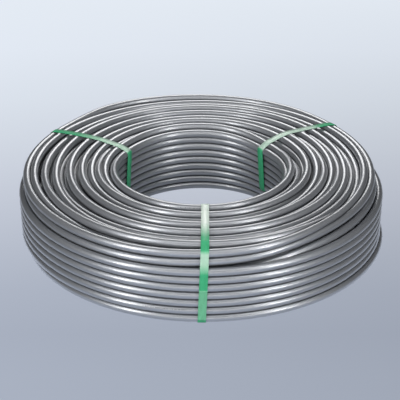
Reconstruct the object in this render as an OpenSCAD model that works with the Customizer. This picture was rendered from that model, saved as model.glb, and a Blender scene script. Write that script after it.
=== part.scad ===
// Coil of plastic heating pipe, wound in nested layers round an open bore and
// held together by three flat straps. It lies on its straps with the winding
// axis upright. Millimetres, +Z up, origin on the winding axis at floor level,
// -Y towards the front strap.

/* [Pipe] */
// Outer diameter of the pipe
pipe_od = 16.2; // [12:0.1:26]

/* [Winding] */
// Clear radius of the bore, measured to the pipe
bore_radius = 180; // [100:1:300]
// Layers that are wound to the full height, counted outwards from the bore
full_layers = 12; // [3:1:16]
// Turns stacked in each full layer
layer_turns = 9; // [4:1:14]
// Turns in the outermost layer, which isn't wound to the full height
last_layer_turns = 7; // [2:1:9]
// Gap between two neighbouring turns of one layer
turn_gap = 0.05; // [0.02:0.01:0.5]
// Gap between a turn and the turns of the next layer that it nests against
nest_gap = 0.1; // [0.02:0.01:0.5]
// Height to which the grooves between turns are closed, above the turns' centres
groove_fill = 3; // [2:0.5:5]

/* [Straps] */
// Width of a strap
strap_width = 15.5; // [9:0.5:25]
// Thickness of a strap
strap_thickness = 0.8; // [0.4:0.1:1.5]
// Gap between a strap and the turns that it lies on
strap_gap = 0.3; // [0.1:0.05:1]
// Length over which a strap's two ends lie on each other and are welded
weld_length = 65; // [20:1:90]
// Place of the front strap, as an angle from -Y towards +X
front_strap_angle = 2; // [-20:0.5:20]
// Place of the rear right strap, as an angle from -Y towards +X
right_strap_angle = 127; // [90:0.5:150]
// Place of the rear left strap, as an angle from -Y towards +X
left_strap_angle = -118; // [-150:0.5:-90]

/* [Hidden] */

ring_steps = 144;
turn_steps = 40;

// Spacing of the turns, along the axis and from layer to nested layer
turn_pitch = pipe_od + turn_gap;
layer_step = sqrt(pow(pipe_od + nest_gap, 2) - pow(turn_pitch / 2, 2));

// The winding stands on the straps that pass under it
winding_base = strap_thickness + strap_gap;
first_turn_height = winding_base + pipe_od / 2;

// The bore's wall curves, so a flat strap that clears it at its two edges stands
// off from it by this much more in its middle
bore_sagitta = bore_radius - sqrt(pow(bore_radius, 2) - pow(strap_width / 2, 2));

// A full layer nests in the grooves of the one before it. The unfinished last
// layer lies level with its neighbour, side by side.
function layer_radius(layer) = bore_radius + pipe_od / 2
    + min(layer, full_layers - 1) * layer_step
    + (layer == full_layers ? turn_pitch : 0);

// Every second layer is raised by half a turn, and the outermost two are low
function layer_lift(layer) =
    layer < full_layers && (full_layers - layer) % 2 == 0 ? turn_pitch / 2 : 0;

// Centre of one turn in the winding's section, as [radius, height]
function turn_centre(layer, turn) =
    [layer_radius(layer), first_turn_height + layer_lift(layer) + turn * turn_pitch];

// The turns that show, once round the section: along the underside outwards,
// up the outside, over the top inwards and down the bore
rim = concat(
    [for (layer = [0 : full_layers]) turn_centre(layer, 0)],
    [for (turn = [1 : 1 : last_layer_turns - 1]) turn_centre(full_layers, turn)],
    [for (turn = [last_layer_turns - 1 : 1 : layer_turns - 2]) turn_centre(full_layers - 1, turn)],
    [for (layer = [full_layers - 1 : -1 : 0]) turn_centre(layer, layer_turns - 1)],
    [for (turn = [layer_turns - 2 : -1 : 1]) turn_centre(0, turn)]
);

// Unit normal, pointing out of the winding, of the line from rim turn i to the next
function outward(i) =
    let (run = rim[(i + 1) % len(rim)] - rim[i % len(rim)])
    [run[1], -run[0]] / norm(run);

// Corner of the packed middle next to rim turn i: the rim line moved outwards
function middle_corner(i) =
    let (before = outward(i + len(rim) - 1), after = outward(i))
    rim[i] + groove_fill * (before + after) / (1 + before * after);

module winding_section() {
    polygon([for (i = [0 : len(rim) - 1]) middle_corner(i)]);
    for (centre = rim) {
        translate(centre) circle(d = pipe_od, $fn = turn_steps);
    }
}

// The outline that a tight strap takes round the winding, at a distance from it
module wrap(distance) {
    offset(r = distance, $fn = turn_steps) hull() {
        winding_section();
        translate([-bore_sagitta, 0]) winding_section();
    }
}

// The two ends of a strap lap on the outside, up from where the strap leaves
// the bottom corner
module weld_section() {
    intersection() {
        difference() {
            wrap(strap_gap + 2 * strap_thickness);
            wrap(strap_gap);
        }
        translate([layer_radius(full_layers), first_turn_height])
            square([2 * pipe_od, weld_length]);
    }
}

module strap_section() {
    difference() {
        wrap(strap_gap + strap_thickness);
        wrap(strap_gap);
    }
    weld_section();
}

module strap(angle) {
    color("mediumseagreen")
        rotate([90, 0, angle - 90])
            linear_extrude(strap_width, center = true) strap_section();
}

// All turns as one solid, with the bore open and the turns showing all round
module pipe_coil() {
    color("lightslategray")
        rotate_extrude($fn = ring_steps) winding_section();
}

module strap_front() { strap(front_strap_angle); }
module strap_rear_right() { strap(right_strap_angle); }
module strap_rear_left() { strap(left_strap_angle); }

pipe_coil();
strap_front();
strap_rear_right();
strap_rear_left();
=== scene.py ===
"""Looks of the pipe coil: one continuous plastic pipe in wound layers, and the three straps that hold it.

Places on the coil are given by azimuth, in degrees: 0 is the front (-Y), 90 the right (+X), 180 the rear
and 270 the left. Levels count half pitches: a turn on level 1 lies on the coil's underside, and one on
level 18 at its top.
"""

import math

import bpy
import numpy as np
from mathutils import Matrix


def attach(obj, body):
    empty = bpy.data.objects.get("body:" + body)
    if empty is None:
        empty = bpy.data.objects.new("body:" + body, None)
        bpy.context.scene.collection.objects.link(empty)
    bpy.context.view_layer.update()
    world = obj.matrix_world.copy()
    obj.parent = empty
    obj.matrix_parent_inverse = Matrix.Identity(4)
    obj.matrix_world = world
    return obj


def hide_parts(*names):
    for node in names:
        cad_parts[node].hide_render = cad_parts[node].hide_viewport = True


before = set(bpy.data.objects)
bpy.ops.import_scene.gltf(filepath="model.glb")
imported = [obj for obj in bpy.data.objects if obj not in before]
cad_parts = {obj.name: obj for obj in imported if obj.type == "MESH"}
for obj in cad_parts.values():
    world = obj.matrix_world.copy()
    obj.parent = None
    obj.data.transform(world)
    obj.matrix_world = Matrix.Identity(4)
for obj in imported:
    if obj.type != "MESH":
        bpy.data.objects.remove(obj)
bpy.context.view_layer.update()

MM = 0.001

# ---------------------------------------------------------------- the pipe's run through the coil
PIPE_RADIUS = 8.1 * MM
PIPE_SIDES = 12
PITCH = 16.25 * MM
FIRST_TURN_HEIGHT = 9.2 * MM
TOP_LEVEL = 18
GROOVE_REACH = 3.0 * MM

# Radius of each layer's turns at the front, right, rear and left, in millimetres, from the bore outwards.
LAYER_RADII = np.array([
    (189.0, 182.0, 187.0, 182.5),
    (203.0, 199.0, 201.0, 196.5),
    (218.0, 213.0, 215.0, 210.5),
    (231.5, 227.0, 229.0, 224.0),
    (245.0, 240.0, 243.0, 237.5),
    (257.5, 254.0, 257.5, 249.0),
    (271.5, 270.0, 272.0, 260.0),
    (286.0, 283.5, 286.5, 274.0),
    (301.0, 297.0, 301.0, 289.0),
    (315.5, 310.0, 316.0, 304.0),
    (329.5, 322.0, 331.0, 319.0),
    (344.0, 346.0, 347.0, 335.8),
])


def rising(layer, first=1, last=TOP_LEVEL):
    """Half turns of a layer that climbs a level at a time."""
    return [(layer, level) for level in range(first, last + 1)]


def falling(layer, first=TOP_LEVEL, last=1):
    """Half turns of a layer that drops a level at a time."""
    return [(layer, level) for level in range(first, last - 1, -1)]


# Layer and level at each half turn of the nested layers: rear, front, rear, front and so on.
NESTED_RUN = (
    rising(0) + falling(1) + rising(2) + falling(3) + rising(4, first=2) + falling(5)
    + rising(6) + falling(7) + rising(8) + falling(9, first=17) + rising(10)
    + [(11, 12)] + falling(11, first=9)
)
# The outermost layer: azimuth, radius in millimetres and levels above the turn's own, along one turn.
OUTER_TURN = [(270, 365.0, 0.4), (360, 359.8, 0.0), (450, 367.5, -0.2), (540, 361.0, 1.2)]
OUTER_TURNS = 7
# The nested layers lead into it at the rear, on the lowest level.
OUTER_ENTRY = (180, 356.0, 1)
# Its lowest turn sprang out at the right, and lies further in at the left.
LOWEST_TURN = [(270, 357.0, 0.1), (360, 359.8, 0.0), (450, 374.0, 0.0), (540, 364.5, 1.2)]
# The loose turns on top of it: azimuth past the last outer turn's front, radius in millimetres and level.
LOOSE_TURNS = [
    (90, 367.5, 12.9), (180, 358.0, 14.1), (270, 346.0, 13.3), (320, 344.0, 12.4),
    (362, 343.5, 12.0), (372, 344.0, 12.2), (383, 345.5, 13.0), (392, 347.5, 13.7),
    (405, 350.0, 14.25), (450, 354.5, 14.8), (540, 361.0, 16.0), (630, 354.5, 15.2),
    (700, 351.5, 14.75), (734, 351.0, 15.45), (750, 348.0, 16.25), (765, 345.5, 16.7),
    (795, 349.0, 17.2), (810, 350.0, 17.3), (840, 354.5, 17.35), (870, 360.5, 17.9),
    (900, 364.0, 18.05), (932, 364.5, 18.3), (955, 359.5, 17.45), (990, 356.0, 17.4),
    (1060, 348.5, 16.85), (1094, 351.0, 17.4), (1125, 338.0, 17.8), (1155, 335.0, 18.0),
    (1180, 337.0, 17.9), (1260, 346.0, 17.2), (1350, 340.5, 17.8), (1390, 338.0, 17.0),
    (1420, 336.5, 15.2),
]


def smooth(x, knots, values):
    """Curve through the knots that never overshoots them: each span is a cubic whose end slopes are the
    harmonic mean of the slopes of the two spans that meet there, or zero where those differ in sign."""
    span = np.diff(knots)
    slope = np.diff(values) / span
    before, after = slope[:-1], slope[1:]
    same_sign = before * after > 0
    middle = np.where(same_sign, 2 * before * after / np.where(same_sign, before + after, 1), 0)
    tangent = np.concatenate([[0], middle, [0]])
    i = np.clip(np.searchsorted(knots, x, side="right") - 1, 0, len(span) - 1)
    t = (x - knots[i]) / span[i]
    return (
        values[i] * (1 + 2 * t) * (1 - t) ** 2
        + values[i + 1] * t * t * (3 - 2 * t)
        + span[i] * (tangent[i] * t * (1 - t) ** 2 - tangent[i + 1] * t * t * (1 - t))
    )


RUN_START = 130.0
# A nested turn keeps its level for this many degrees to either side of the front and the rear.
LEVEL_REACH = 40
# Height knots of the nested layers are left out from this many degrees before the outermost layer's first.
ENTRY_ROOM = 20
# The bore widens by this much with each level down, in millimetres, and its top turn leans in by this much at
# the sides and the rear.
BORE_FLARE = 0.22
BORE_LEAN = 5.0
# Random draws: each half turn strays sideways by up to this, in millimetres, and each layer begins its
# changes of level up to this many degrees early or late.
RUN_SEED = 7
STRAY = 0.5
LAYER_SHIFT = 12


def pipe_run():
    """The pipe's centreline as two smooth curves over the azimuth that it has turned through: knots and
    radii, and knots and heights. The nested layers keep their level about the front and the rear and cross
    to the next one at the sides. Returns those four arrays, and the layer and the level of each half turn."""
    rng = np.random.default_rng(RUN_SEED)
    layer, level = np.array(NESTED_RUN).T
    station = 180.0 * np.arange(1, len(layer) + 1)
    at_front = np.arange(len(layer)) % 2
    radius = LAYER_RADII[layer, np.where(at_front, 0, 2)]
    side = LAYER_RADII[:, np.where(at_front, 1, 3)]
    after = np.append(layer[1:], layer[-1])
    beside = (side[layer, np.arange(len(layer))] + side[after, np.arange(len(layer))]) / 2
    flare = np.where(layer == 0, BORE_FLARE * (TOP_LEVEL - level), 0)
    lean = np.where((layer == 0) & (level >= TOP_LEVEL - 2), -BORE_LEAN, 0)
    # two more values are drawn than there are half turns, and left unused
    stray = rng.uniform(-STRAY, STRAY, len(layer) + 2)[: len(layer)]
    shift = rng.uniform(-LAYER_SHIFT, LAYER_SHIFT, len(LAYER_RADII))[layer]
    radius = radius + flare + stray
    beside = beside + flare + stray
    radius_knots = np.column_stack([station, station + 90]).ravel()
    radius_knots[0] = RUN_START - 1
    radii = np.column_stack([radius + lean * (1 - at_front), beside + lean]).ravel()
    height_knots = np.column_stack([station - LEVEL_REACH + shift, station + LEVEL_REACH + shift]).ravel()
    height_knots[0] = RUN_START - 1
    levels = np.repeat(level.astype(float), 2)

    start = station[-1]
    outer = [(start + OUTER_ENTRY[0], *OUTER_ENTRY[1:])]
    for turn in range(OUTER_TURNS):
        shape = LOWEST_TURN if turn == 0 else OUTER_TURN
        outer += [(start + 360 * turn + az, r, 1 + 2 * turn + rise) for az, r, rise in shape]
    last_front = start + 360 * OUTER_TURNS
    outer = [knot for knot in outer if knot[0] <= last_front]
    outer += [(last_front + az, r, rise) for az, r, rise in LOOSE_TURNS]
    outer = np.array(outer)
    keep = radius_knots < outer[0, 0]
    radius_knots = np.concatenate([radius_knots[keep], outer[:, 0]])
    radii = np.concatenate([radii[keep], outer[:, 1]]) * MM
    keep = height_knots < outer[0, 0] - ENTRY_ROOM
    height_knots = np.concatenate([height_knots[keep], outer[:, 0]])
    levels = np.concatenate([levels[keep], outer[:, 2]])
    heights = FIRST_TURN_HEIGHT + (levels - 1) * PITCH / 2
    return radius_knots, radii, height_knots, heights, layer, level


RADIUS_KNOTS, RADII, HEIGHT_KNOTS, HEIGHTS, RUN_LAYER, RUN_LEVEL = pipe_run()
RUN_END = RADIUS_KNOTS[-1]


# Where the straps pull the inner layers down: azimuth, reach to either side in degrees, share of the height.
# They do so in full up to the first of these radii, and less and less up to the second.
SAGS = [(128, 28, 0.08), (238, 25, 0.025)]
SAG_RADII = (192 * MM, 232 * MM)


def centre(azimuth):
    """Radius and height of the pipe's centre after it has turned through that azimuth. Each sag lowers the
    turns near the bore by a share of their height, in a bell curve about its azimuth."""
    radius, height = smooth(azimuth, RADIUS_KNOTS, RADII), smooth(azimuth, HEIGHT_KNOTS, HEIGHTS)
    near_bore = np.clip((SAG_RADII[1] - radius) / (SAG_RADII[1] - SAG_RADII[0]), 0, 1)
    bells = [share * np.exp(-(((azimuth % 360 - at) / reach) ** 2)) for at, reach, share in SAGS]
    return radius, height * (1 - near_bore * sum(bells))


def place(azimuth, radius, height):
    """Points in the row frame at an azimuth in degrees, a distance from the axis and a height."""
    angle = np.radians(azimuth)
    return np.stack([radius * np.sin(angle), -radius * np.cos(angle), height + 0 * angle], -1)


# ---------------------------------------------------------------- meshes
def unit(vectors):
    """Vectors scaled to length one."""
    return vectors / np.linalg.norm(vectors, axis=-1, keepdims=True)


def grid_piece(name, points, u, v, shares, material, closed_rows=False):
    """A mesh on a grid of points, rows by columns: each row is a closed ring and four neighbours make a
    face. The last row joins the first, or a flat cap closes each end. u gives a length to each row and v a
    place to each column and to the ring's end; shares gives each point a value to shade by, by name."""
    rows, columns = points.shape[:2]
    index = np.arange(rows * columns).reshape(rows, columns)
    lower = index if closed_rows else index[:-1]
    upper = np.roll(index, -1, 0) if closed_rows else index[1:]
    quads = np.stack([lower, np.roll(lower, -1, 1), np.roll(upper, -1, 1), upper], -1).reshape(-1, 4)
    near, far = u[: len(lower), None] + 0 * v[:-1], u[1 : len(lower) + 1, None] + 0 * v[:-1]
    left, right = v[:-1] + 0 * near, v[1:] + 0 * near
    corner_uv = np.stack([near, left, near, right, far, right, far, left], -1).reshape(-1)
    corners, starts, smooth_faces = quads.ravel(), np.arange(0, quads.size, 4), np.ones(len(quads), bool)
    if not closed_rows:
        corners = np.concatenate([corners, index[0, ::-1], index[-1]])
        starts = np.concatenate([starts, [quads.size, quads.size + columns]])
        smooth_faces = np.concatenate([smooth_faces, [False, False]])
        corner_uv = np.concatenate([corner_uv, np.zeros(4 * columns)])
    mesh = bpy.data.meshes.new(name)
    mesh.vertices.add(rows * columns)
    mesh.vertices.foreach_set("co", points.reshape(-1).astype(np.float32))
    mesh.loops.add(len(corners))
    mesh.loops.foreach_set("vertex_index", corners.astype(np.int32))
    mesh.polygons.add(len(starts))
    mesh.polygons.foreach_set("loop_start", starts.astype(np.int32))
    mesh.polygons.foreach_set("use_smooth", smooth_faces)
    mesh.uv_layers.new(name="UVMap").data.foreach_set("uv", corner_uv.astype(np.float32))
    for share, values in shares.items():
        layer = mesh.attributes.new(share, "FLOAT", "POINT")
        layer.data.foreach_set("value", values.reshape(-1).astype(np.float32))
    mesh.update(calc_edges=True)
    mesh.validate()
    piece = bpy.data.objects.new(name, mesh)
    bpy.context.scene.collection.objects.link(piece)
    mesh.materials.append(material)
    return piece


# Rows of points in half a turn, where the turn shows and where it lies inside the winding, and in the short
# part of the run before the first rear.
SEEN_STEPS, HIDDEN_STEPS = 48, 22
LEAD_IN_STEPS = 13
# How many of the nearest other turns are searched for a turn's grooves.
NEIGHBOURS = 6
# Radii and depths of the rings that close each end of the pipe, in millimetres: the bore's floor, its wall
# and the flat cut.
END_RADII = (0.2, 5.5, 5.5, 7.7)
END_DEPTHS = (40, 40, 0, 0)


def run_samples():
    """Azimuths along the pipe: close together where a turn can be seen, wider apart inside the winding."""
    last_layer = len(LAYER_RADII) - 1
    seen = (RUN_LAYER == 0) | (RUN_LAYER == last_layer) | (RUN_LEVEL >= TOP_LEVEL - 3) | (RUN_LEVEL <= 2)
    steps = np.where(seen[:-1] | seen[1:], SEEN_STEPS, HIDDEN_STEPS)
    nested_end = 180.0 * len(RUN_LAYER)
    outer_count = int((RUN_END - nested_end) / 180 * SEEN_STEPS)
    step_size = np.repeat(180.0 / steps, steps)
    nested = 180 + np.concatenate([[0], np.cumsum(step_size)])
    lead_in = np.linspace(RUN_START, 180, LEAD_IN_STEPS + 1)[:-1]
    return np.concatenate([lead_in, nested, np.linspace(nested_end, RUN_END, outer_count + 1)[1:]])


def groove_share(azimuth, points):
    """How deep each point of the pipe lies between turns: its distance to the nearest other turn's surface,
    taken in the winding's section, makes 1 where the two touch and 0 from GROOVE_REACH on."""
    turns = 360.0 * np.arange((RUN_END - RUN_START) // 360 + 2)
    other = RUN_START + (azimuth[:, None] - RUN_START) % 360 + turns
    radius, height = centre(other)
    missing = (other > RUN_END) | (np.abs(other - azimuth[:, None]) < 1)
    own_radius, own_height = centre(azimuth)
    apart = np.hypot(radius - own_radius[:, None], height - own_height[:, None]) + np.where(missing, 1.0, 0)
    nearest = np.argpartition(apart, NEIGHBOURS, axis=1)[:, :NEIGHBOURS]
    near_radius = np.take_along_axis(radius, nearest, 1)[:, None, :]
    near_height = np.take_along_axis(height, nearest, 1)[:, None, :]
    far_off = np.take_along_axis(missing, nearest, 1)[:, None, :]
    from_axis = np.hypot(points[..., 0], points[..., 1])[..., None]
    gap = np.hypot(from_axis - near_radius, points[..., 2, None] - near_height) - PIPE_RADIUS
    return np.clip(1 - np.where(far_off, 1.0, gap).min(-1) / GROOVE_REACH, 0, 1)


def pipe(name, material):
    """The pipe: a round profile carried along the centreline. At each end a flat cut leads to the bore,
    which runs on inwards and is closed at its depth."""
    azimuth = run_samples()
    radius, height = centre(azimuth)
    line = place(azimuth, radius, height)
    along = unit(np.gradient(line, axis=0))
    up = unit(np.array([0, 0, 1.0]) - along * along[:, 2:])
    out = np.cross(along, up)
    run = np.concatenate([[0], np.cumsum(np.linalg.norm(np.diff(line, axis=0), axis=1))])
    turn = np.arange(PIPE_SIDES) * 2 * math.pi / PIPE_SIDES
    profile = -np.cos(turn)[:, None] * up[:, None] + np.sin(turn)[:, None] * out[:, None]
    tube = line[:, None] + PIPE_RADIUS * profile
    # how deep each point lies between turns, which the material darkens with painted shade
    groove = groove_share(azimuth, tube)

    end_radii = np.array(END_RADII)[:, None, None] * MM
    end_depths = np.array(END_DEPTHS)[:, None, None] * MM
    first = line[0] + along[0] * end_depths + end_radii * profile[0]
    last = (line[-1] - along[-1] * end_depths + end_radii * profile[-1])[::-1]
    points = np.concatenate([first, tube, last])
    rings = len(END_RADII)
    groove = np.pad(groove, ((rings, rings), (0, 0)), mode="edge")
    run = np.pad(run, (rings, rings), mode="edge")
    v = np.arange(PIPE_SIDES + 1) / PIPE_SIDES
    return grid_piece(name, points, run, v, {"groove": groove}, material)


# ---------------------------------------------------------------- straps
STRAP_WIDTH = 15.5 * MM
STRAP_THICKNESS = 0.8 * MM
STRAP_GAP = 0.3 * MM
STRAP_EDGE = 0.25 * MM
STRAP_STEP = 1.4 * MM
# Directions in which the outermost turn is looked for, once round the section.
DIRECTIONS = 1441
# Rounds in which the places where a strap's plane crosses the turns are worked out.
CROSSING_ROUNDS = 3
WELD_HEIGHTS = (9.2 * MM, 74.2 * MM)
TOP_HEIGHT = 154 * MM
# On the outside, further from the axis than this, the straps are paler over the top corner, a painted
# highlight:
# the heights at which that begins, is full, begins to fade and has gone. The laps are a little paler all
# over.
OUTSIDE_RADIUS = 340 * MM
CORNER_HEIGHTS = (106 * MM, 126 * MM, 142 * MM, 148 * MM)
CORNER_PAINTED_HIGHLIGHT = 0.55
LAP_PALENESS = 0.16
# Each strap lies in an upright plane that passes the axis at a distance: the plane's azimuth, that distance
# in millimetres towards higher azimuths at the top, how much less it is at the bottom, the radii in
# millimetres between which the strap's painted highlight on top gives way to plain green, and how strong that
# painted highlight is.
STRAPS = {
    "strap_front": (-0.2, 9.4, 6.0, 262, 318, 1.0),
    "strap_rear_right": (119.6, 35.5, 0.0, 300, 322, 0.75),
    "strap_rear_left": (242.4, -2.0, 0.0, 220, 300, 0.6),
}


def hull_line(plane_azimuth, offset, lean, distance):
    """A strap's line round the winding, in its plane: for each direction, the turn that lies furthest that
    way gives a point at the given distance from its centre. The points are spread evenly along the line,
    then moved sideways in proportion to their depth below the top.
    Returns for each its place in the row frame, the direction that it faces, its distance from the axis
    and its height, and the length of the line up to it."""
    turns = np.arange(math.ceil((RUN_START - plane_azimuth) / 360) + 1, (RUN_END - plane_azimuth) // 360 + 1)
    azimuth = plane_azimuth + 360 * turns
    # a plane beside the axis crosses each turn off its own azimuth, by more the smaller the turn's radius is
    for _ in range(CROSSING_ROUNDS):
        radius, height = centre(azimuth)
        azimuth = plane_azimuth + 360 * turns + np.degrees(np.arcsin(offset / radius))
    centres = np.stack([np.sqrt(radius**2 - offset**2), height], -1)
    angle = np.linspace(-math.pi / 2, 1.5 * math.pi, DIRECTIONS)
    facing = np.stack([np.cos(angle), np.sin(angle)], -1)
    corner = centres[np.argmax(facing @ centres.T, axis=1)] + distance * facing
    run = np.concatenate([[0], np.cumsum(np.linalg.norm(np.diff(corner, axis=0), axis=1))])
    even = np.linspace(0, run[-1], int(run[-1] / STRAP_STEP))
    across, height, angle = (np.interp(even, run, values) for values in (*corner.T, angle))
    plane = math.radians(plane_azimuth)
    outwards = np.array([math.sin(plane), -math.cos(plane), 0])
    sideways = np.array([math.cos(plane), math.sin(plane), 0])
    aside = offset - lean * (1 - height / TOP_HEIGHT)
    flat = across[:, None] * outwards + aside[:, None] * sideways
    points = flat + height[:, None] * np.array([0, 0, 1.0])
    radial = unit(flat)
    normal = np.cos(angle)[:, None] * radial + np.sin(angle)[:, None] * np.array([0, 0, 1.0])
    return points, normal, np.linalg.norm(flat, axis=1), height, even


def strap_piece(name, points, normal, run, pale, material, closed_rows):
    """A flat band with eased edges along a line of points: its width lies square to the line and to the
    direction that the line faces. No part of it goes below the floor."""
    if closed_rows:
        points, normal, pale = points[:-1], normal[:-1], pale[:-1]
        along = unit(np.roll(points, -1, 0) - np.roll(points, 1, 0))
    else:
        along = unit(np.gradient(points, axis=0))
    width = unit(np.cross(along, normal))
    face = np.cross(width, along)
    w, t, ease = STRAP_WIDTH / 2, STRAP_THICKNESS / 2, STRAP_EDGE
    across = np.array([w, w - ease, -w + ease, -w, -w, -w + ease, w - ease, w])
    proud = np.array([-t + ease, -t, -t, -t + ease, t - ease, t, t, t - ease])
    section = across[:, None] * width[:, None] + proud[:, None] * face[:, None]
    v = np.append(across, across[0])
    shares = {"pale": pale[:, None] + 0 * across}
    band = points[:, None] + section
    band[..., 2] = np.maximum(band[..., 2], 0)
    return grid_piece(name, band, run, v, shares, material, closed_rows)


def strap(node, plane_azimuth, offset, lean, painted_highlight_end, plain_start, top_painted_highlight, material):
    """The band of one strap, and its upper end where that laps on the outside and is welded. The band carries
    a painted highlight: it is paler on top near the bore, and over the corner to the outside."""
    plane = (plane_azimuth, offset * MM, lean * MM)
    distance = PIPE_RADIUS + STRAP_GAP + STRAP_THICKNESS / 2
    points, normal, radius, height, run = hull_line(*plane, distance)
    # Painted highlight: paler where the band faces up near the bore, and over the top corner on the outside.
    on_top = np.clip(normal[:, 2] * 4 - 2, 0, 1)
    near_bore = np.clip((plain_start * MM - radius) / ((plain_start - painted_highlight_end) * MM), 0, 1)
    begins, full, fades, gone = CORNER_HEIGHTS
    corner = np.clip((height - begins) / (full - begins), 0, 1)
    corner = corner * np.clip((gone - height) / (gone - fades), 0, 1)
    outside = radius > OUTSIDE_RADIUS
    pale = np.maximum(top_painted_highlight * on_top * near_bore, CORNER_PAINTED_HIGHLIGHT * corner * outside)
    band = strap_piece(node + "_band", points, normal, run, pale, material, True)
    points, normal, radius, height, run = hull_line(*plane, distance + STRAP_THICKNESS)
    lapped = (radius > OUTSIDE_RADIUS) & (height > WELD_HEIGHTS[0]) & (height < WELD_HEIGHTS[1])
    pale = LAP_PALENESS + 0 * run[lapped]
    lap = strap_piece(node + "_lap", points[lapped], normal[lapped], run[lapped], pale, material, False)
    return band, lap


# ---------------------------------------------------------------- materials
class Graph:
    """The nodes of one material or world."""

    def __init__(self, tree):
        self.nodes = tree.nodes
        self.links = tree.links

    def add(self, kind, inputs=None, **settings):
        """A new node with the given settings. Each named input is linked to a socket or set to a value."""
        node = self.nodes.new(kind)
        for key, value in settings.items():
            setattr(node, key, value)
        for socket, value in (inputs or {}).items():
            if isinstance(value, bpy.types.NodeSocket):
                self.links.new(value, node.inputs[socket])
            else:
                node.inputs[socket].default_value = value
        return node

    def calc(self, operation, a, b=0.0):
        """A maths node's result."""
        return self.add("ShaderNodeMath", {0: a, 1: b}, operation=operation).outputs[0]

    def ramp(self, value, start, end, low=0.0, high=1.0):
        """The value mapped from start..end to low..high, and held there outside that range."""
        names = {"Value": value, "From Min": start, "From Max": end, "To Min": low, "To Max": high}
        return self.add("ShaderNodeMapRange", names).outputs[0]

    def blend(self, share, a, b):
        """Two colours mixed: the first where the share is 0, the second where it is 1."""
        node = self.add("ShaderNodeMix", {"Factor": share, "A": a, "B": b}, data_type="RGBA")
        return node.outputs["Result"]

    def noise(self, vector, scale, detail=2.0):
        """A soft noise from 0 to 1."""
        names = {"Vector": vector, "Scale": scale, "Detail": detail}
        return self.add("ShaderNodeTexNoise", names).outputs[0]

    def stretched(self, vector, scale):
        """A texture place, scaled along each axis."""
        return self.add("ShaderNodeMapping", {"Vector": vector, "Scale": scale}).outputs[0]


def new_material(name):
    """An empty node material with its output node."""
    material = bpy.data.materials.new(name)
    material.use_nodes = True
    graph = Graph(material.node_tree)
    graph.nodes.clear()
    return material, graph, graph.add("ShaderNodeOutputMaterial")


PIPE_DARK, PIPE_LIGHT = (0.275, 0.293, 0.323, 1), (0.335, 0.356, 0.39, 1)
PIPE_RUBBED, MARK_TONE = (0.46, 0.475, 0.50, 1), (0.06, 0.06, 0.065, 1)
# Painted shade: the colour that the pipe is darkened towards where it lies deep between turns.
GROOVE_PAINTED_SHADE = (0.012, 0.013, 0.015, 1)
# The rows of marks: metres of pipe from one to the next, how far before each such length a row begins and how
# long it is, and its middle and half its width, as shares of the way round the pipe.
MARK_SPACING = 10.095
MARK_LEAD, MARK_LENGTH = 0.03, 0.085
MARK_PLACE, MARK_HALF_WIDTH = 0.335, 0.024


def pipe_plastic():
    """Satin silver-grey pipe: streaks along its run from the extruder, a slow drift of tone, fine rubbed
    places, a short row of faint dark marks every ten metres, and painted shade, with less coat, where it
    lies deep between turns."""
    material, g, output = new_material("silver_grey_pipe_plastic")
    uv = g.add("ShaderNodeTexCoord").outputs["UV"]
    groove = g.add("ShaderNodeAttribute", attribute_name="groove").outputs["Fac"]
    split = g.add("ShaderNodeSeparateXYZ", {0: uv})
    run, place_round = split.outputs[0], split.outputs[1]
    streaks = g.noise(g.stretched(uv, (1.5, 42.0, 1.0)), 1.0, 3.0)
    drift = g.noise(g.stretched(uv, (4.0, 2.0, 1.0)), 1.0, 2.0)
    rubbed = g.ramp(g.noise(g.stretched(uv, (90.0, 16.0, 1.0)), 1.0, 4.0), 0.6, 0.75)
    tone = g.calc("ADD", g.calc("MULTIPLY", streaks, 0.6), g.calc("MULTIPLY", drift, 0.4))
    colour = g.blend(g.ramp(tone, 0.3, 0.7), PIPE_DARK, PIPE_LIGHT)
    colour = g.blend(g.calc("MULTIPLY", rubbed, 0.25), colour, PIPE_RUBBED)
    from_row = g.calc("MODULO", g.calc("ADD", run, MARK_LEAD), MARK_SPACING)
    in_group = g.calc("LESS_THAN", from_row, MARK_LENGTH)
    in_dash = g.ramp(g.noise(g.stretched(uv, (420.0, 0.0, 1.0)), 1.0, 0.0), 0.47, 0.53)
    from_middle = g.calc("ABSOLUTE", g.calc("SUBTRACT", place_round, MARK_PLACE))
    in_row = g.calc("LESS_THAN", from_middle, MARK_HALF_WIDTH)
    mark = g.calc("MULTIPLY", g.calc("MULTIPLY", in_group, in_dash), in_row)
    colour = g.blend(g.calc("MULTIPLY", mark, 0.5), colour, MARK_TONE)
    # painted shade between turns, by how deep the point lies there; it also takes the coat away
    painted_shade = g.calc("POWER", groove, 1.3)
    colour = g.blend(painted_shade, colour, GROOVE_PAINTED_SHADE)
    roughness = g.ramp(streaks, 0.2, 0.8, 0.35, 0.42)
    coat_roughness = g.calc("ADD", g.ramp(drift, 0.3, 0.7, 0.17, 0.22), g.calc("MULTIPLY", rubbed, 0.1))
    relief = g.calc("ADD", g.calc("MULTIPLY", streaks, 0.7), g.calc("MULTIPLY", rubbed, 0.3))
    bump = g.add("ShaderNodeBump", {"Height": relief, "Strength": 0.12, "Distance": 0.0002})
    shader = g.add("ShaderNodeBsdfPrincipled", {
        "Base Color": colour,
        "Metallic": 0.6,
        "Roughness": roughness,
        "Coat Weight": g.calc("MULTIPLY", g.calc("SUBTRACT", 1.0, painted_shade), 0.9),
        "Coat Roughness": coat_roughness,
        "Normal": bump.outputs[0],
    })
    g.links.new(shader.outputs[0], output.inputs["Surface"])
    return material


STRAP_DARK, STRAP_MID = (0.024, 0.34, 0.145, 1), (0.04, 0.43, 0.2, 1)
# The pale tone: the laps' own, and the painted highlight on the band.
STRAP_LIGHT, STRAP_PALE_AND_HIGHLIGHT = (0.1, 0.5, 0.28, 1), (0.74, 0.82, 0.79, 1)
EMBOSSING = 1.6 * MM


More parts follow.
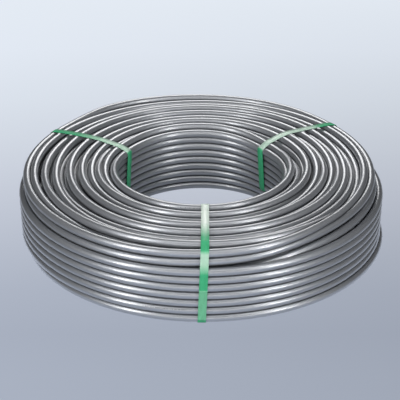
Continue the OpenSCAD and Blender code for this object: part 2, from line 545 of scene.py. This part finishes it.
def strap_polyester():
    """Green polyester strapping: pressed all over with a fine crossed pattern, a little uneven in tone, and
    paler where the attribute says so: a painted highlight on top near the bore and over the outer corner,
    and the laps' paler tone."""
    material, g, output = new_material("green_strap_polyester")
    uv = g.add("ShaderNodeTexCoord").outputs["UV"]
    pale = g.add("ShaderNodeAttribute", attribute_name="pale").outputs["Fac"]
    split = g.add("ShaderNodeSeparateXYZ", {0: uv})
    run, across = split.outputs[0], split.outputs[1]
    waves = 2 * math.pi / EMBOSSING
    one_way = g.calc("SINE", g.calc("MULTIPLY", g.calc("ADD", run, across), waves))
    other_way = g.calc("SINE", g.calc("MULTIPLY", g.calc("SUBTRACT", run, across), waves))
    pattern = g.calc("MULTIPLY", one_way, other_way)
    cloud = g.noise(g.stretched(uv, (60.0, 200.0, 1.0)), 1.0, 3.0)
    speckle = g.noise(g.stretched(uv, (700.0, 700.0, 1.0)), 1.0, 1.0)
    colour = g.blend(g.ramp(cloud, 0.3, 0.7), STRAP_DARK, STRAP_MID)
    colour = g.blend(g.calc("MULTIPLY", g.ramp(speckle, 0.5, 0.7), 0.45), colour, STRAP_LIGHT)
    # paler by the attribute: painted highlight on the band, and the laps' paler tone
    colour = g.blend(g.calc("MULTIPLY", pale, 0.85), colour, STRAP_PALE_AND_HIGHLIGHT)
    bump = g.add("ShaderNodeBump", {"Height": pattern, "Strength": 0.35, "Distance": 0.0001})
    roughness = g.calc("ADD", g.ramp(pale, 0.0, 1.0, 0.5, 0.2), g.ramp(cloud, 0.3, 0.7, -0.03, 0.05))
    shader = g.add("ShaderNodeBsdfPrincipled", {
        "Base Color": colour,
        "Roughness": roughness,
        "IOR": 1.57,
        "Normal": bump.outputs[0],
    })
    g.links.new(shader.outputs[0], output.inputs["Surface"])
    return material


pipe_piece = pipe("pipe", pipe_plastic())
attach(pipe_piece, "root")
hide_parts("pipe_coil")
strap_material = strap_polyester()
for node, shape in STRAPS.items():
    for piece in strap(node, *shape, strap_material):
        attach(piece, "root")
        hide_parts(node)


# ---------------------------------------------------------------- studio
AIM = np.array([0, 0, 0.074])
FLOOR_REACH = 8.0
# The floor's tone at distances behind the axis, in metres.
FLOOR_TONES = [
    (-0.53, (0.366, 0.407, 0.494, 1)), (-0.40, (0.358, 0.397, 0.483, 1)), (-0.25, (0.385, 0.424, 0.51, 1)),
    (-0.09, (0.437, 0.476, 0.56, 1)), (0.13, (0.512, 0.549, 0.634, 1)), (0.39, (0.591, 0.634, 0.712, 1)),
    (0.70, (0.667, 0.718, 0.793, 1)), (1.08, (0.734, 0.787, 0.867, 1)), (1.55, (0.77, 0.825, 0.898, 1)),
]
FLOOR_PAPER = (0.11, 0.116, 0.125, 1)
# The share of its own glow in the floor's look, the glow's strength as the camera sees it, as the object
# reflects it, and as it reflects the floor in front, and how much that grows at the object's foot.
FLOOR_GLOW = 0.86
FLOOR_SHOWN = 1.14
FLOOR_REFLECTED = 0.85
FRONT_REFLECTED = 2.5
FOOT_REFLECTED = 2.2
STUDIO_DARK = (0.012, 0.013, 0.014, 1)


def floor():
    """A pale paper floor: lighter further back and a little lighter on the left. It takes the object's
    shadow, and it reflects in the object in front of and behind it, most of all in front and at its foot."""
    mesh = bpy.data.meshes.new("floor")
    r = FLOOR_REACH
    mesh.from_pydata([(-r, -r, 0), (r, -r, 0), (r, r, 0), (-r, r, 0)], [], [(0, 1, 2, 3)])
    piece = bpy.data.objects.new("floor", mesh)
    bpy.context.scene.collection.objects.link(piece)
    material, g, output = new_material("pale_floor_paper")
    split = g.add("ShaderNodeSeparateXYZ", {0: g.add("ShaderNodeTexCoord").outputs["Object"]})
    x, y = split.outputs[0], split.outputs[1]
    first, last = FLOOR_TONES[0][0], FLOOR_TONES[-1][0]
    tones = g.add("ShaderNodeValToRGB", {"Fac": g.ramp(y, first, last)})
    stops = tones.color_ramp.elements
    for place_back, tone in FLOOR_TONES[1:-1]:
        stops.new((place_back - first) / (last - first))
    for stop, (_, tone) in zip(stops, FLOOR_TONES):
        stop.color = tone
    slope = g.ramp(y, -0.1, 1.6, -0.185, -0.02)
    near_x = g.add("ShaderNodeClamp", {0: x, 1: -0.7, 2: 0.7}).outputs[0]
    side = g.calc("ADD", g.calc("MULTIPLY", near_x, slope), 1.0)
    aside = g.ramp(g.calc("ABSOLUTE", x), 0.6, 1.4, 1.0, 0.04)
    reflected = g.calc("MULTIPLY", aside, g.ramp(y, -0.6, -0.36, FRONT_REFLECTED, FLOOR_REFLECTED))
    from_axis = g.calc("SQRT", g.calc("ADD", g.calc("MULTIPLY", x, x), g.calc("MULTIPLY", y, y)))
    inside = g.ramp(from_axis, 0.30, 0.36, 1.0, FOOT_REFLECTED)
    outside = g.ramp(from_axis, 0.39, 0.5, FOOT_REFLECTED, 1.0)
    reflected = g.calc("MULTIPLY", reflected, g.calc("MINIMUM", inside, outside))
    path = g.add("ShaderNodeLightPath")
    shown = g.ramp(path.outputs["Is Camera Ray"], 0.0, 1.0, reflected, FLOOR_SHOWN)
    strength = g.calc("MULTIPLY", shown, side)
    glow = g.add("ShaderNodeEmission", {"Color": tones.outputs[0], "Strength": strength})
    paper = g.add("ShaderNodeBsdfDiffuse", {"Color": FLOOR_PAPER})
    seen = g.calc("MAXIMUM", path.outputs["Is Camera Ray"], path.outputs["Is Glossy Ray"])
    seen = g.calc("MULTIPLY", g.calc("MAXIMUM", seen, path.outputs["Is Transmission Ray"]), FLOOR_GLOW)
    mix = g.add("ShaderNodeMixShader", {0: seen, 1: paper.outputs[0], 2: glow.outputs[0]})
    g.links.new(mix.outputs[0], output.inputs["Surface"])
    mesh.materials.append(material)


def studio_world():
    """A dim studio for the object, and the floor's far tone where the camera looks past the floor."""
    world = bpy.data.worlds.new("studio")
    bpy.context.scene.world = world
    world.use_nodes = True
    g = Graph(world.node_tree)
    g.nodes.clear()
    dim = g.add("ShaderNodeBackground", {"Color": STUDIO_DARK})
    pale = g.add("ShaderNodeBackground", {"Color": FLOOR_TONES[-1][1]})
    seen = g.add("ShaderNodeLightPath").outputs["Is Camera Ray"]
    mix = g.add("ShaderNodeMixShader", {0: seen, 1: dim.outputs[0], 2: pale.outputs[0]})
    g.add("ShaderNodeOutputWorld", {"Surface": mix.outputs[0]})


SOFTBOX_TONE = (1.0, 0.98, 0.955)
# Name, azimuth and elevation in degrees, distance, width and height in metres, and watts.
SOFTBOXES = [
    ("left_softbox", -42, 30, 2.4, 0.4, 1.0, 16),
    ("left_low_softbox", -42, 14, 2.4, 0.4, 0.5, 10.5),
    ("left_high_softbox", -48, 48, 2.4, 0.5, 0.7, 5),
    ("right_softbox", 42, 30, 2.4, 0.4, 1.0, 4),
    ("right_low_softbox", 42, 14, 2.4, 0.4, 0.5, 16),
    ("right_high_softbox", 48, 48, 2.4, 0.5, 0.7, 10),
    ("front_low_softbox", 0, 12, 3.0, 2.4, 0.8, 15.5),
    ("front_high_softbox", 0, 60, 2.4, 1.6, 1.2, 11.5),
    ("back_softbox", 180, 38, 2.6, 1.1, 1.3, 21.5),
]


def softbox(name, azimuth, elevation, distance, width, height, watts):
    """A rectangular soft light that faces the coil, at an azimuth and an elevation as seen from it."""
    data = bpy.data.lights.new(name, "AREA")
    data.shape = "RECTANGLE"
    data.size = width
    data.size_y = height
    data.energy = watts
    data.color = SOFTBOX_TONE
    lamp = bpy.data.objects.new(name, data)
    bpy.context.scene.collection.objects.link(lamp)
    a, e = math.radians(azimuth), math.radians(elevation)
    direction = np.array([math.sin(a) * math.cos(e), -math.cos(a) * math.cos(e), math.sin(e)])
    lamp.location = AIM + distance * direction
    lamp.rotation_euler = (math.pi / 2 - e, 0, a)


floor()
studio_world()
for softbox_settings in SOFTBOXES:
    softbox(*softbox_settings)

# ---------------------------------------------------------------- camera
CAMERA_ELEVATION = math.radians(27.25)
CAMERA_DISTANCE = 2.522
camera_data = bpy.data.cameras.new("camera")
camera_data.lens = 108.63
camera_data.sensor_width = 36
camera_data.shift_x = -0.0012
camera_data.shift_y = -0.0065
camera = bpy.data.objects.new("camera", camera_data)
bpy.context.scene.collection.objects.link(camera)
towards = np.array([0, -math.cos(CAMERA_ELEVATION), math.sin(CAMERA_ELEVATION)])
camera.location = AIM + CAMERA_DISTANCE * towards
camera.rotation_euler = (math.pi / 2 - CAMERA_ELEVATION, 0, 0)
bpy.context.scene.camera = camera
bpy.context.scene.view_settings.view_transform = "Standard"
